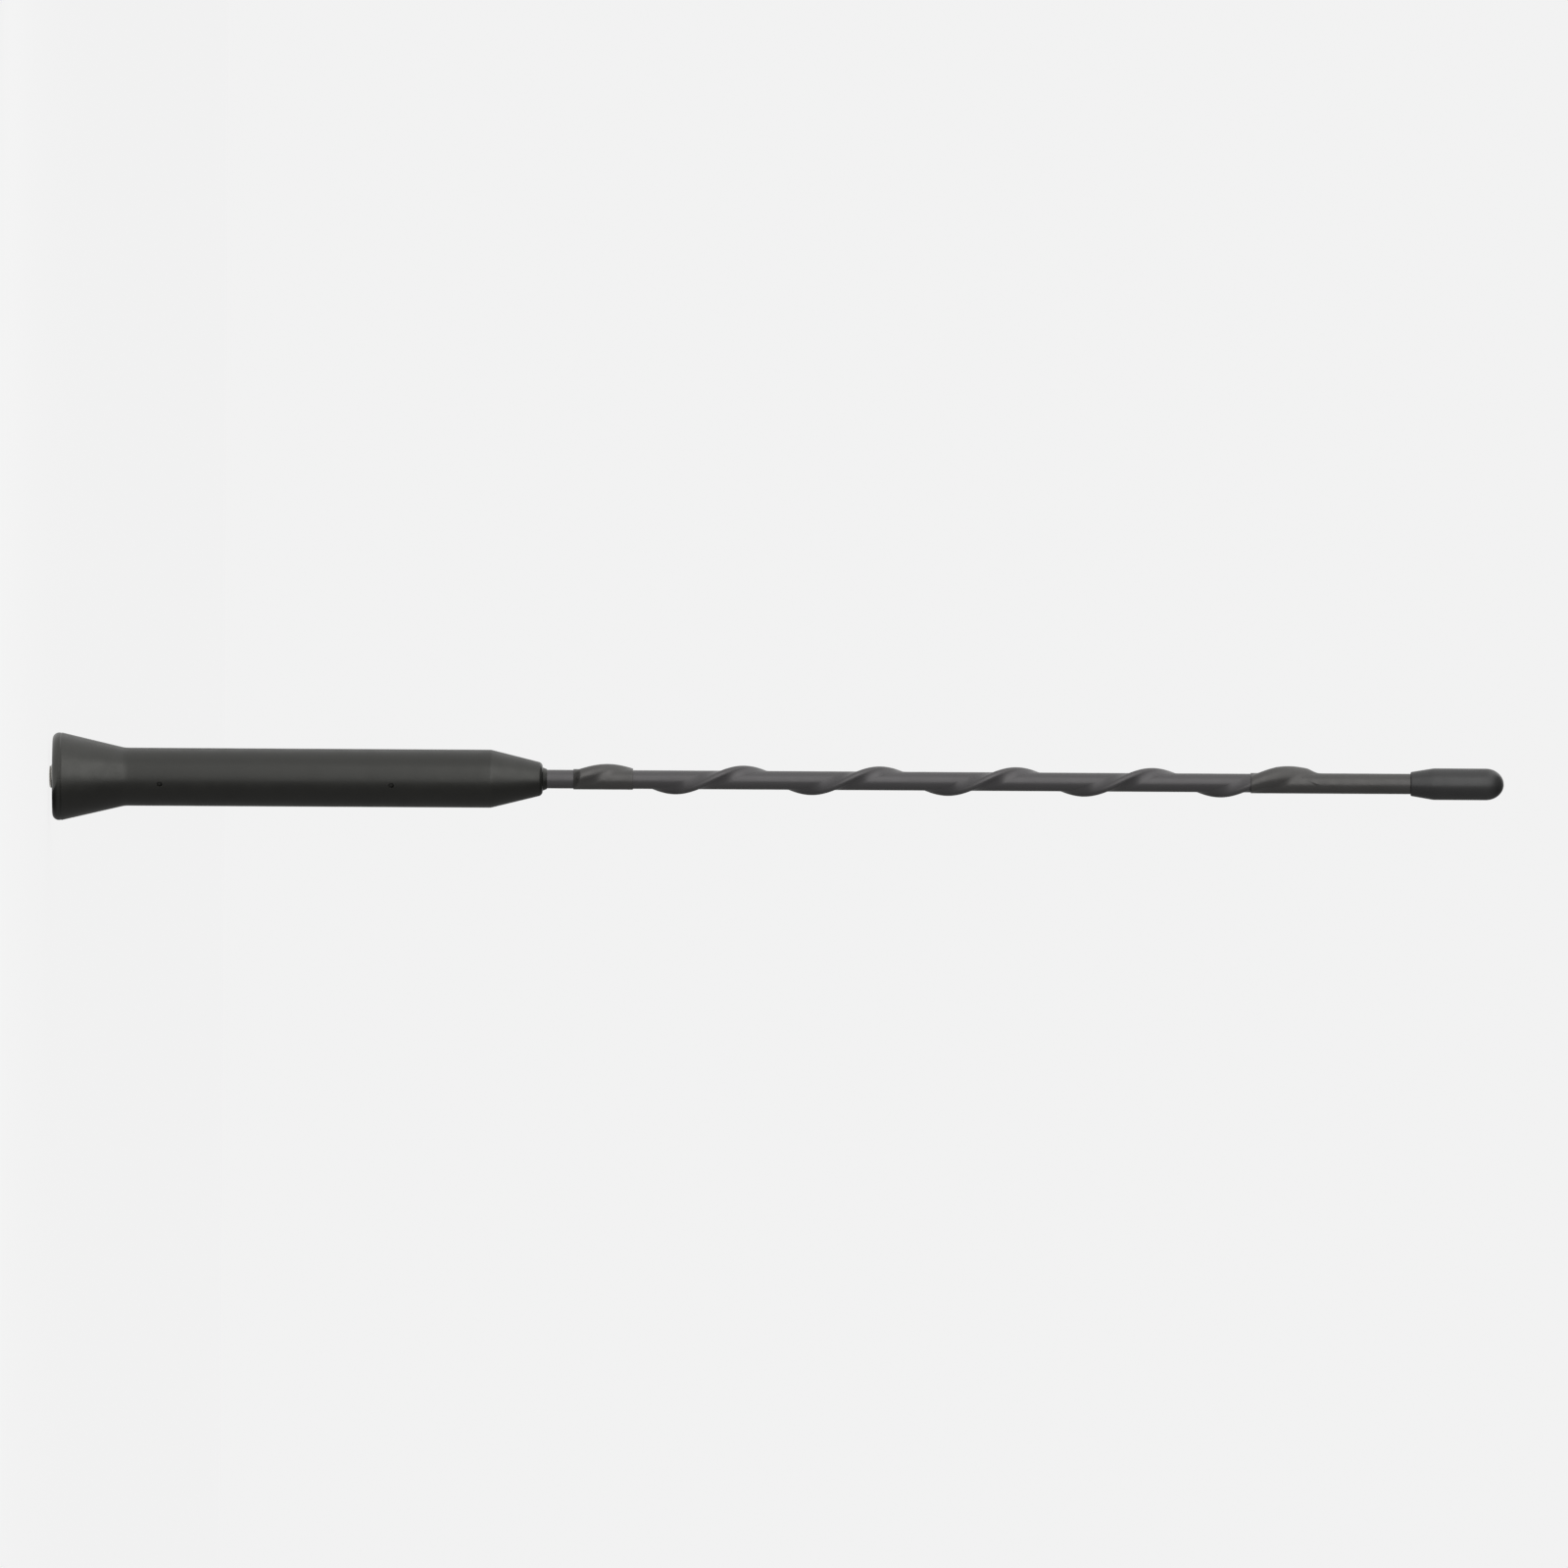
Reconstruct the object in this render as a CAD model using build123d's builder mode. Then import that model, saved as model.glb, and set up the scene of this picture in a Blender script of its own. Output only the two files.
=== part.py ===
from build123d import *
import os
from math import atan, cos, pi, radians, sin, sqrt

# Car mast aerial, standing on its fixing stud: +Z runs from the rim of the grip to the tip.
# The origin is the centre of the rim, -Y is the front, and every size is in millimetres.

# Grip: one rubber moulding with a hollow flared skirt, a plain barrel and a tapered nose
rim_diameter = 16.9
rim_round = 1.3
rim_inner_chamfer = 0.3
band_height = 1.5
groove_width = 0.35
groove_depth = 0.15
flare_height = 14.0
flare_blend = 6.0
barrel_diameter = 11.2
barrel_length = 70.6
shoulder_round = 2.0
nose_length = 9.8
nose_diameter = 6.3
nose_round = 0.5
lip_diameter = 4.5
lip_length = 1.0
lip_edge = 0.12
skirt_wall = 2.1
skirt_depth = 8.0
roof_margin = 0.6

# Marks left in the rubber by the pins that held the core in the mould, front and back
mark_diameter = 0.8
mark_depth = 0.7
mark_turn = 15.0
mark_inset = 3.4
mark_sides = 2

# Fixing stud, thread M5, with a run-out groove where it enters the insert
stud_diameter = 5.0
stud_length = 20.0
stud_proud = 0.55
stud_chamfer = 0.5
relief_diameter = 4.0
relief_length = 1.2
relief_inside = 0.4

# Brass insert that holds the stud, with ring grooves that key it into the rubber
insert_diameter = 8.0
drill_gap = 0.4
insert_web = 1.4
key_groove_width = 1.4
key_groove_depth = 0.5
insert_groove_count = 3

# Loading coil on its nylon former, between the insert and the ferrule
former_diameter = 5.0
spigot_diameter = 3.0
spigot_length = 2.7
wire_diameter = 0.8
coil_pitch = 2.0
coil_room = 0.25

# Brass ferrule that grips the foot of the whip
ferrule_length = 26.0
ferrule_rise = 3.4
ferrule_wall = 1.15
ferrule_web = 1.5
ferrule_groove_count = 4

# Whip: a black coated rod with a spiral strand wound on it, left-handed, with a round crown and flat flanks
rod_diameter = 3.6
whip_foot = 6.1
whip_head = 20.45
strand_pitch = 26.27
strand_turns = 5.3
strand_width = 2.8
strand_height = 1.0
crown_diameter = 1.6
foot_edge = 0.05
front_angle = -90.0

# Shrink sleeves that hold the two ends of the strand, each a thin tent where it spans the strand
sleeve_wall = 0.14
sleeve_lead = 1.8
lower_sleeve_length = 11.5
upper_sleeve_cover = 10.4
snug_round = 1.6
slack_round = 2.1
tent_slack = 0.33
slack_run = 5.0
sleeve_settle = 3.0
settle_steps = 6
least_lift = 0.005
section_turn = 10.0
cut_through = 0.5

# Tip cap
cap_length = 18.0
cap_diameter = 6.1
cap_lip_wall = 0.33
cap_taper = 4.4
cap_dome = 3.5
dome_fullness = 0.552
cap_bore_depth = 13.0
sleeve_tuck = 2.0

# Clearances
bond_gap = 0.02
thread_gap = 0.05
wind_gap = 0.03
end_gap = 0.2
seat_gap = 0.01
shrink_gap = 0.02
tent_gap = 0.03

# Heights worked out from the sizes above
barrel_end = flare_height + barrel_length
nose_end = barrel_end + nose_length
lower_sleeve_bottom = nose_end + whip_foot
lower_sleeve_top = lower_sleeve_bottom + lower_sleeve_length
strand_start = lower_sleeve_bottom + sleeve_lead
strand_end = strand_start + strand_turns * strand_pitch
cap_bottom = strand_end + whip_head
cap_top = cap_bottom + cap_length
stud_bottom = -stud_proud
stud_top = stud_bottom + stud_length
insert_top = stud_top + drill_gap + insert_web + spigot_length + end_gap
ferrule_top = barrel_end + ferrule_rise
ferrule_bottom = ferrule_top - ferrule_length
rod_bottom = ferrule_bottom + spigot_length + end_gap + ferrule_web + end_gap
rod_top = cap_bottom + cap_bore_depth - end_gap
upper_sleeve_bottom = strand_end - upper_sleeve_cover
upper_sleeve_top = cap_bottom + sleeve_tuck
# the strand's ends are cut square to its slant, so each tent stays up a little past them
tent_start = strand_start - crown_diameter / 4
tent_end = strand_end + crown_diameter / 4
settled_height = tent_end + sleeve_settle

# Radii worked out from the sizes above
rim_radius = rim_diameter / 2
barrel_radius = barrel_diameter / 2
nose_radius = nose_diameter / 2
stud_radius = stud_diameter / 2
insert_radius = insert_diameter / 2
former_radius = former_diameter / 2
spigot_radius = spigot_diameter / 2
wire_radius = wire_diameter / 2
rod_radius = rod_diameter / 2
cap_radius = cap_diameter / 2
crown_radius = crown_diameter / 2
seat_radius = rod_radius + seat_gap
coil_radius = former_radius + wind_gap + wire_radius
chamber_radius = coil_radius + wire_radius + coil_room
ferrule_radius = rod_radius + bond_gap + ferrule_wall
sleeve_bore_radius = rod_radius + shrink_gap
sleeve_radius = sleeve_bore_radius + sleeve_wall
cap_lip_radius = sleeve_radius + bond_gap + cap_lip_wall

# Hollow of the strand's foot: the rod's curve, flatter where it is cut square to the strand's slant
strand_slant = atan(2 * pi * seat_radius / strand_pitch)
foot_curve = seat_radius / cos(strand_slant) ** 2
foot_drop = foot_curve - sqrt(foot_curve ** 2 - (strand_width / 2) ** 2)

os.makedirs("parts", exist_ok=True)


def turned_section(radius, bottom, top, count, gap):
    # half-section of a turned brass piece with ring grooves, grown all round by the gap
    step = (top - bottom) / (count + 1)
    half_width = key_groove_width / 2 - gap
    floor = radius - key_groove_depth + gap
    edge = radius + gap
    outline = [(0, bottom - gap), (edge, bottom - gap)]
    for k in range(count):
        middle = bottom + step * (k + 1)
        outline += [(edge, middle - half_width), (floor, middle - half_width)]
        outline += [(floor, middle + half_width), (edge, middle + half_width)]
    outline += [(edge, top + gap), (0, top + gap)]
    with BuildSketch(Plane.XZ) as section:
        with BuildLine():
            Polyline(outline, close=True)
        make_face()
    return section.sketch


def round_section(radius, bottom, top):
    # half-section of a plain round length
    with BuildSketch(Plane.XZ) as section:
        with BuildLine():
            Polyline((0, bottom), (radius, bottom), (radius, top), (0, top), close=True)
        make_face()
    return section.sketch


def strand_angle(height):
    # the strand's line crosses the front at the lower sleeve's edge and climbs left-handed
    return front_angle - 360 * (height - lower_sleeve_bottom) / strand_pitch


def strand_helix(bottom, top):
    # path along the middle of the strand's foot
    helix = Helix(strand_pitch, top - bottom, seat_radius, lefthand=True)
    return Pos(0, 0, bottom) * Rot(0, 0, strand_angle(bottom)) * helix


def strand_section(path):
    # at the path's start: a foot hollowed to lie on the rod, thin edges, flat flanks and a round crown
    start = path @ 0
    outward = Vector(start.X, start.Y, 0)
    with BuildSketch(Plane(start, x_dir=outward, z_dir=path % 0)) as section:
        with BuildLine():
            CenterArc((strand_height - crown_radius, 0), crown_radius, 0, 360)
            for side in (-strand_width / 2, strand_width / 2):
                Line((-foot_drop - foot_edge, side), (-foot_drop + foot_edge, side))
        make_hull()
        with Locations((-foot_curve, 0)):
            Circle(foot_curve, mode=Mode.SUBTRACT)
    return section.sketch


def sleeve_section(height, lift, inset):
    # hull of a ring round the rod and a round over the strand, which is fully raised at a lift of 1;
    # it is snug at first, and slack further into the upper sleeve
    slackness = min(1, max(0, (height - upper_sleeve_bottom) / slack_run))
    tent_round = snug_round + slackness * (slack_round - snug_round)
    crest = seat_radius + strand_height + tent_gap + sleeve_wall + slackness * tent_slack
    round_centre = lift * (crest - tent_round)
    round_radius = sleeve_radius + lift * (tent_round - sleeve_radius)
    angle = radians(strand_angle(min(height, settled_height)))
    toward_strand = Plane((0, 0, height), x_dir=(cos(angle), sin(angle), 0), z_dir=(0, 0, 1))
    with BuildSketch(toward_strand) as section:
        with BuildLine():
            CenterArc((0, 0), sleeve_radius - inset, 0, 360)
            CenterArc((round_centre, 0), round_radius - inset, 0, 360)
        make_hull()
    return section.sketch


def rising(bottom, top):
    # heights and lifts at which a sleeve rises from the rod, short of its full height at the top
    steps = []
    for k in range(settle_steps):
        share = k / settle_steps
        lift = least_lift + (1 - least_lift) * (1 - cos(pi * share)) / 2
        steps.append((bottom + (top - bottom) * share, lift))
    return steps


def spread(bottom, top):
    # heights close enough together for a fully raised tent to follow the strand's turn, with their lift
    count = max(2, round(360 * (top - bottom) / strand_pitch / section_turn))
    return [(bottom + (top - bottom) * k / count, 1) for k in range(count + 1)]


# Grip
cone_start = band_height + groove_width
mouth_radius = rim_radius - skirt_wall
roof_radius = insert_radius + roof_margin
mark_heights = [insert_top - mark_inset, ferrule_bottom + mark_inset]
with BuildPart() as grip:
    with BuildSketch(Plane.XZ):
        with BuildLine():
            FilletPolyline(
                (0, 0),
                (rim_radius, 0),
                (rim_radius, band_height),
                (rim_radius - groove_depth, band_height + groove_width / 2),
                (rim_radius, cone_start),
                (barrel_radius, flare_height),
                (barrel_radius, barrel_end),
                (nose_radius, nose_end),
                (lip_diameter / 2, nose_end),
                (rod_radius + bond_gap + lip_edge, nose_end + lip_length),
                (0, nose_end + lip_length),
                radius=[rim_round, 0, 0, 0, flare_blend, shoulder_round, nose_round, 0, 0],
            )
            Line((0, nose_end + lip_length), (0, 0))
        make_face()
    revolve(axis=Axis.Z)
    # skirt hollow, open at the rim
    with BuildSketch(Plane.XZ):
        with BuildLine():
            Polyline(
                (0, 0),
                (mouth_radius + rim_inner_chamfer, 0),
                (mouth_radius, rim_inner_chamfer),
                (roof_radius, skirt_depth),
                (0, skirt_depth),
                close=True,
            )
        make_face()
    revolve(axis=Axis.Z, mode=Mode.SUBTRACT)
    # room for the insert, the coil, the ferrule and the rod
    insert_room = turned_section(insert_radius, skirt_depth, insert_top, insert_groove_count, bond_gap)
    coil_chamber = round_section(chamber_radius, insert_top, ferrule_bottom)
    ferrule_room = turned_section(
        ferrule_radius, ferrule_bottom, ferrule_top, ferrule_groove_count, bond_gap
    )
    rod_room = round_section(rod_radius + bond_gap, ferrule_top, nose_end + lip_length)
    for room in (insert_room, coil_chamber, ferrule_room, rod_room):
        revolve(room, axis=Axis.Z, mode=Mode.SUBTRACT)
    # blind marks of the mould's holding pins
    for mark_height in mark_heights:
        for side in range(mark_sides):
            mark_angle = radians(front_angle + mark_turn + 360 * side / mark_sides)
            outward = Vector(cos(mark_angle), sin(mark_angle), 0)
            mark_floor = outward * (barrel_radius - mark_depth) + Vector(0, 0, mark_height)
            with BuildSketch(Plane(mark_floor, z_dir=outward)):
                Circle(mark_diameter / 2)
            extrude(amount=barrel_radius, mode=Mode.SUBTRACT)
grip.part.label = "grip"
export_step(grip.part, "parts/grip.step")

# Fixing stud
relief_bottom = skirt_depth + relief_inside - relief_length
relief_top = skirt_depth + relief_inside
with BuildPart() as fixing_stud:
    with BuildSketch(Plane.XZ):
        with BuildLine():
            Polyline(
                (0, stud_bottom),
                (stud_radius - stud_chamfer, stud_bottom),
                (stud_radius, stud_bottom + stud_chamfer),
                (stud_radius, relief_bottom),
                (relief_diameter / 2, relief_bottom),
                (relief_diameter / 2, relief_top),
                (stud_radius, relief_top),
                (stud_radius, stud_top - stud_chamfer),
                (stud_radius - stud_chamfer, stud_top),
                (0, stud_top),
                close=True,
            )
        make_face()
    revolve(axis=Axis.Z)
fixing_stud.part.label = "fixing_stud"
export_step(fixing_stud.part, "parts/fixing_stud.step")

# Threaded insert
with BuildPart() as threaded_insert:
    revolve(turned_section(insert_radius, skirt_depth, insert_top, insert_groove_count, 0), axis=Axis.Z)
    stud_hole = round_section(stud_radius + thread_gap, skirt_depth, stud_top + drill_gap)
    spigot_hole = round_section(spigot_radius + bond_gap, insert_top - spigot_length - end_gap, insert_top)
    for hole in (stud_hole, spigot_hole):
        revolve(hole, axis=Axis.Z, mode=Mode.SUBTRACT)
threaded_insert.part.label = "threaded_insert"
export_step(threaded_insert.part, "parts/threaded_insert.step")

# Coil former
with BuildPart() as coil_former:
    revolve(round_section(former_radius, insert_top, ferrule_bottom), axis=Axis.Z)
    spigots = round_section(spigot_radius, insert_top - spigot_length, ferrule_bottom + spigot_length)
    revolve(spigots, axis=Axis.Z)
coil_former.part.label = "coil_former"
export_step(coil_former.part, "parts/coil_former.step")

# Loading coil
coil_bottom = insert_top + wire_radius + wind_gap
coil_top = ferrule_bottom - wire_radius - wind_gap
coil_path = Pos(0, 0, coil_bottom) * Helix(coil_pitch, coil_top - coil_bottom, coil_radius)
with BuildPart() as loading_coil:
    with BuildSketch(Plane(coil_path @ 0, z_dir=coil_path % 0)):
        Circle(wire_radius)
    sweep(path=coil_path, is_frenet=True)
loading_coil.part.label = "loading_coil"
export_step(loading_coil.part, "parts/loading_coil.step")

# Rod ferrule
with BuildPart() as rod_ferrule:
    ferrule_outline = turned_section(ferrule_radius, ferrule_bottom, ferrule_top, ferrule_groove_count, 0)
    revolve(ferrule_outline, axis=Axis.Z)
    rod_hole = round_section(rod_radius + bond_gap, rod_bottom - end_gap, ferrule_top)
    spigot_room = spigot_length + end_gap
    spigot_hole = round_section(spigot_radius + bond_gap, ferrule_bottom, ferrule_bottom + spigot_room)
    for hole in (rod_hole, spigot_hole):
        revolve(hole, axis=Axis.Z, mode=Mode.SUBTRACT)
rod_ferrule.part.label = "rod_ferrule"
export_step(rod_ferrule.part, "parts/rod_ferrule.step")

# Whip rod
with BuildPart() as whip_rod:
    revolve(round_section(rod_radius, rod_bottom, rod_top), axis=Axis.Z)
whip_rod.part.label = "whip_rod"
export_step(whip_rod.part, "parts/whip_rod.step")

# Spiral strand
strand_path = strand_helix(strand_start, strand_end)
with BuildPart() as spiral_strand:
    sweep(strand_section(strand_path), path=strand_path, is_frenet=True)
spiral_strand.part.label = "spiral_strand"
export_step(spiral_strand.part, "parts/spiral_strand.step")

# Lower sleeve, raised off the rod just below the strand's start
lower_steps = rising(lower_sleeve_bottom, tent_start) + spread(tent_start, lower_sleeve_top)
lower_cut = [(lower_sleeve_bottom - cut_through, least_lift)] + lower_steps
lower_cut += [(lower_sleeve_top + cut_through, 1)]
with BuildPart() as lower_sleeve:
    for steps, inset, mode in ((lower_steps, 0, Mode.ADD), (lower_cut, sleeve_wall, Mode.SUBTRACT)):
        loft([sleeve_section(*step, inset) for step in steps], ruled=True, mode=mode)
lower_sleeve.part.label = "lower_sleeve"
export_step(lower_sleeve.part, "parts/lower_sleeve.step")

# Upper sleeve, tented over the strand's end and plain from there to inside the cap
upper_steps = spread(upper_sleeve_bottom, tent_end) + rising(settled_height, tent_end)[::-1]
upper_cut = [(upper_sleeve_bottom - cut_through, 1)] + upper_steps
upper_steps += [(upper_sleeve_top, least_lift)]
upper_cut += [(upper_sleeve_top + cut_through, least_lift)]
with BuildPart() as upper_sleeve:
    for steps, inset, mode in ((upper_steps, 0, Mode.ADD), (upper_cut, sleeve_wall, Mode.SUBTRACT)):
        loft([sleeve_section(*step, inset) for step in steps], ruled=True, mode=mode)
upper_sleeve.part.label = "upper_sleeve"
export_step(upper_sleeve.part, "parts/upper_sleeve.step")

# Tip cap
with BuildPart() as tip_cap:
    with BuildSketch(Plane.XZ):
        with BuildLine():
            Polyline(
                (0, cap_top),
                (0, cap_bottom),
                (cap_lip_radius, cap_bottom),
                (cap_radius, cap_bottom + cap_taper),
                (cap_radius, cap_top - cap_dome),
            )
            Bezier(
                (cap_radius, cap_top - cap_dome),
                (cap_radius, cap_top - cap_dome + dome_fullness * cap_dome),
                (dome_fullness * cap_radius, cap_top),
                (0, cap_top),
            )
        make_face()
    revolve(axis=Axis.Z)
    rod_bore = round_section(rod_radius + bond_gap, cap_bottom, cap_bottom + cap_bore_depth)
    sleeve_bore = round_section(sleeve_radius + bond_gap, cap_bottom, upper_sleeve_top + end_gap)
    for hole in (rod_bore, sleeve_bore):
        revolve(hole, axis=Axis.Z, mode=Mode.SUBTRACT)
tip_cap.part.label = "tip_cap"
export_step(tip_cap.part, "parts/tip_cap.step")

print("height over all", round(cap_top - stud_bottom, 2), "rim to tip", round(cap_top, 2))
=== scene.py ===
import bpy
import numpy as np
from mathutils import Matrix, Vector


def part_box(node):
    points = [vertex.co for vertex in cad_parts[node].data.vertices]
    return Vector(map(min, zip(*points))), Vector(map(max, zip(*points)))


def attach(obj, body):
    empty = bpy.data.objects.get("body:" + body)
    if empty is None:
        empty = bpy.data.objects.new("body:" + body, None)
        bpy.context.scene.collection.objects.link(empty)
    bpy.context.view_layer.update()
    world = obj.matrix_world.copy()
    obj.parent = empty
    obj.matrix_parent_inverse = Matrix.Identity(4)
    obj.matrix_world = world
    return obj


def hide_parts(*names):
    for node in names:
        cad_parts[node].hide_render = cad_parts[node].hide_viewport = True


# Looks of a car mast aerial, standing on its stud: +Z from the rim of the grip to the tip, -Y the front.
# Every size below is in millimetres, and joinRings turns it into metres.

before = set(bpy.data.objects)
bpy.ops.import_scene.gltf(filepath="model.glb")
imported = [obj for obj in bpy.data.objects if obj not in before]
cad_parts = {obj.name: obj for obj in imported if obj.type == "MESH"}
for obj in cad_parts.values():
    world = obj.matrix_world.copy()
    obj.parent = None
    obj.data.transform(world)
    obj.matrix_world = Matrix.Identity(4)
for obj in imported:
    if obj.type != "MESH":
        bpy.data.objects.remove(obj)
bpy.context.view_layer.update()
mm = 0.001
fullTurn = 2 * np.pi
print("frame loaded:", len(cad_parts), "nodes")


def span(node):
    # lowest and highest height of a CAD node, and its radius along X
    low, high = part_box(node)
    return low.z / mm, high.z / mm, high.x / mm


def smoothStep(low, high, value):
    # 0 below low, 1 above high, and the cubic 3t2 - 2t3 between them
    share = np.clip((value - low) / (high - low), 0, 1)
    return share * share * (3 - 2 * share)


def turnFrom(angles, middle):
    # signed turn from the middle angle, the short way round
    return (angles - middle + np.pi) % fullTurn - np.pi


arcStep = 6  # degrees between the points of an arc


def softOutline(corners, step):
    # corners are (r, z, round): each corner with a round becomes an arc tangent to both of its runs,
    # and each straight run is divided evenly into lengths of at most step
    place = np.array([corner[:2] for corner in corners], float)
    roundings = [corner[2] for corner in corners[1:-1]]
    stops = [place[:1]]
    for before, corner, after, rounding in zip(place[:-2], place[1:-1], place[2:], roundings):
        if rounding == 0:
            stops.append(corner[None])
            continue
        back = (before - corner) / np.linalg.norm(before - corner)
        ahead = (after - corner) / np.linalg.norm(after - corner)
        half = np.arccos(np.clip(back @ ahead, -1, 1)) / 2
        centre = corner + (back + ahead) / np.linalg.norm(back + ahead) * rounding / np.sin(half)
        first = corner + back * rounding / np.tan(half) - centre
        last = corner + ahead * rounding / np.tan(half) - centre
        sweep = np.pi - 2 * half
        share = np.linspace(0, 1, max(3, int(np.degrees(sweep) / arcStep) + 2))[:, None]
        arc = (first * np.sin((1 - share) * sweep) + last * np.sin(share * sweep)) / np.sin(sweep)
        stops.append(centre + arc)
    stops.append(place[-1:])
    chain = np.concatenate(stops)
    runs = np.linalg.norm(np.diff(chain, axis=0), axis=1)
    counts = np.maximum(1, np.ceil(runs / step)).astype(int)
    spread = [np.linspace(a, b, n, endpoint=False) for a, b, n in zip(chain[:-1], chain[1:], counts)]
    return np.concatenate(spread + [chain[-1:]])


def turned(radius, height, angles):
    # surface of revolution: each outline point (radius, height) carried round the axis through the angles
    x = radius * np.cos(angles)
    y = radius * np.sin(angles)
    return np.stack([x, y, np.broadcast_to(height, x.shape)], axis=-1)


def joinRings(name, rings, firstPole=None, lastPole=None, wrapRows=False, sharpDegrees=40):
    # quads join each ring of points to the next and close every ring on itself; wrapRows joins the last ring
    # to the first, and a pole closes an end ring with a fan. Rows that climb outside face outwards
    rows, columns = rings.shape[:2]
    index = np.arange(rows * columns).reshape(rows, columns)
    above = np.roll(index, -1, axis=0)
    lower, upper = (index, above) if wrapRows else (index[:-1], above[:-1])
    quads = np.stack([lower, np.roll(lower, -1, 1), np.roll(upper, -1, 1), upper], axis=-1).reshape(-1, 4)
    faces = quads.tolist()
    points = [rings.reshape(-1, 3)]
    poleAt = rows * columns
    if firstPole is not None:
        points.append(np.array([firstPole], float))
        ring = index[0]
        faces += np.stack([np.full(columns, poleAt), np.roll(ring, -1), ring], axis=-1).tolist()
        poleAt += 1
    if lastPole is not None:
        points.append(np.array([lastPole], float))
        ring = index[-1]
        faces += np.stack([ring, np.roll(ring, -1), np.full(columns, poleAt)], axis=-1).tolist()
    mesh = bpy.data.meshes.new(name)
    mesh.from_pydata((np.concatenate(points) * mm).tolist(), [], faces)
    mesh.shade_smooth()
    mesh.set_sharp_from_angle(angle=np.radians(sharpDegrees))
    mesh.validate()
    piece = bpy.data.objects.new(name, mesh)
    bpy.context.scene.collection.objects.link(piece)
    return piece


def dress(piece, material, node):
    # the piece stands for its CAD node: it takes the given finish, hangs under the root body, and the node is
    # hidden
    piece.data.materials.append(material)
    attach(piece, "root")
    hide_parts(node)


# Finishes

noiseRough = 0.55
noiseSpan = (0.3, 0.7)  # the part of the noise that a change of tone or a tarnish runs over
patchSpan = (0.35, 0.65)  # and the narrower part for patches of gloss


def newFinish(name):
    # an empty material with its principled shader and two short helpers for its nodes
    finish = bpy.data.materials.new(name)
    finish.use_nodes = True
    nodes = finish.node_tree.nodes
    shader = nodes["Principled BSDF"]

    def add(kind, **settings):
        node = nodes.new(kind)
        for key, value in settings.items():
            if key in node.inputs:
                node.inputs[key].default_value = value
            else:
                setattr(node, key, value)
        return node

    return finish, shader, add, finish.node_tree.links.new


def grain(add, link, coordinates, perMm, detail=4.0, stretch=(1, 1, 1)):
    # noise with perMm grains to the millimetre, drawn out along an axis where its stretch is below 1
    size = add("ShaderNodeMapping")
    size.inputs["Scale"].default_value = stretch
    link(coordinates, size.inputs["Vector"])
    noise = add("ShaderNodeTexNoise", Scale=perMm / mm, Detail=detail, Roughness=noiseRough)
    link(size.outputs["Vector"], noise.inputs["Vector"])
    return noise.outputs["Fac"]


def remap(add, link, value, low, high, toLow, toHigh):
    # carries a value from one range to another, clamped
    scale = add("ShaderNodeMapRange", clamp=True)
    scale.inputs["From Min"].default_value = low
    scale.inputs["From Max"].default_value = high
    scale.inputs["To Min"].default_value = toLow
    scale.inputs["To Max"].default_value = toHigh
    link(value, scale.inputs["Value"])
    return scale.outputs["Result"]


def twoTone(add, link, value, dark, light):
    # a colour that runs from dark to light as the value climbs
    ramp = add("ShaderNodeValToRGB")
    ramp.color_ramp.elements[0].position = noiseSpan[0]
    ramp.color_ramp.elements[0].color = (*dark, 1)
    ramp.color_ramp.elements[1].position = noiseSpan[1]
    ramp.color_ramp.elements[1].color = (*light, 1)
    link(value, ramp.inputs["Fac"])
    return ramp.outputs["Color"]


def relief(add, link, value, depth, under=None):
    # bump of the given depth in millimetres, over another bump if there is one
    bump = add("ShaderNodeBump", Strength=1.0, Distance=depth * mm)
    link(value, bump.inputs["Height"])
    if under is not None:
        link(under, bump.inputs["Normal"])
    return bump.outputs["Normal"]


def satinFinish(name, look):
    # satin black skin: a slow drift of tone, a fine moulded grain in the bump, and patches of gloss
    finish, shader, add, link = newFinish(name)
    here = add("ShaderNodeTexCoord").outputs["Object"]
    drift = grain(add, link, here, look["driftPerMm"], stretch=look["stretch"])
    fine = grain(add, link, here, look["grainPerMm"], detail=2.0, stretch=look["stretch"])
    patch = grain(add, link, here, look["patchPerMm"], detail=3.0)
    link(twoTone(add, link, drift, look["dark"], look["light"]), shader.inputs["Base Color"])
    link(remap(add, link, patch, *patchSpan, *look["gloss"]), shader.inputs["Roughness"])
    low = relief(add, link, drift, look["driftDepth"])
    link(relief(add, link, fine, look["grainDepth"], under=low), shader.inputs["Normal"])
    shader.inputs["Specular IOR Level"].default_value = look["specular"]
    shader.inputs["Specular Tint"].default_value = (*look["tint"], 1)
    return finish


def metalFinish(name, look):
    # turned or plated metal: rings round the axis or grain in the bump, and tarnish that dulls it in patches
    finish, shader, add, link = newFinish(name)
    here = add("ShaderNodeTexCoord").outputs["Object"]
    tarnish = grain(add, link, here, look["tarnishPerMm"])
    rings = add("ShaderNodeTexWave", wave_type="RINGS", rings_direction="Z", Scale=look["ringsPerMm"] / mm)
    rings.inputs["Distortion"].default_value = look["wander"]
    link(here, rings.inputs["Vector"])
    link(twoTone(add, link, tarnish, look["dull"], look["clean"]), shader.inputs["Base Color"])
    link(remap(add, link, tarnish, *noiseSpan, *look["gloss"]), shader.inputs["Roughness"])
    link(relief(add, link, rings.outputs["Fac"], look["ringDepth"]), shader.inputs["Normal"])
    shader.inputs["Metallic"].default_value = look["metal"]
    return finish


# Grip

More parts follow.
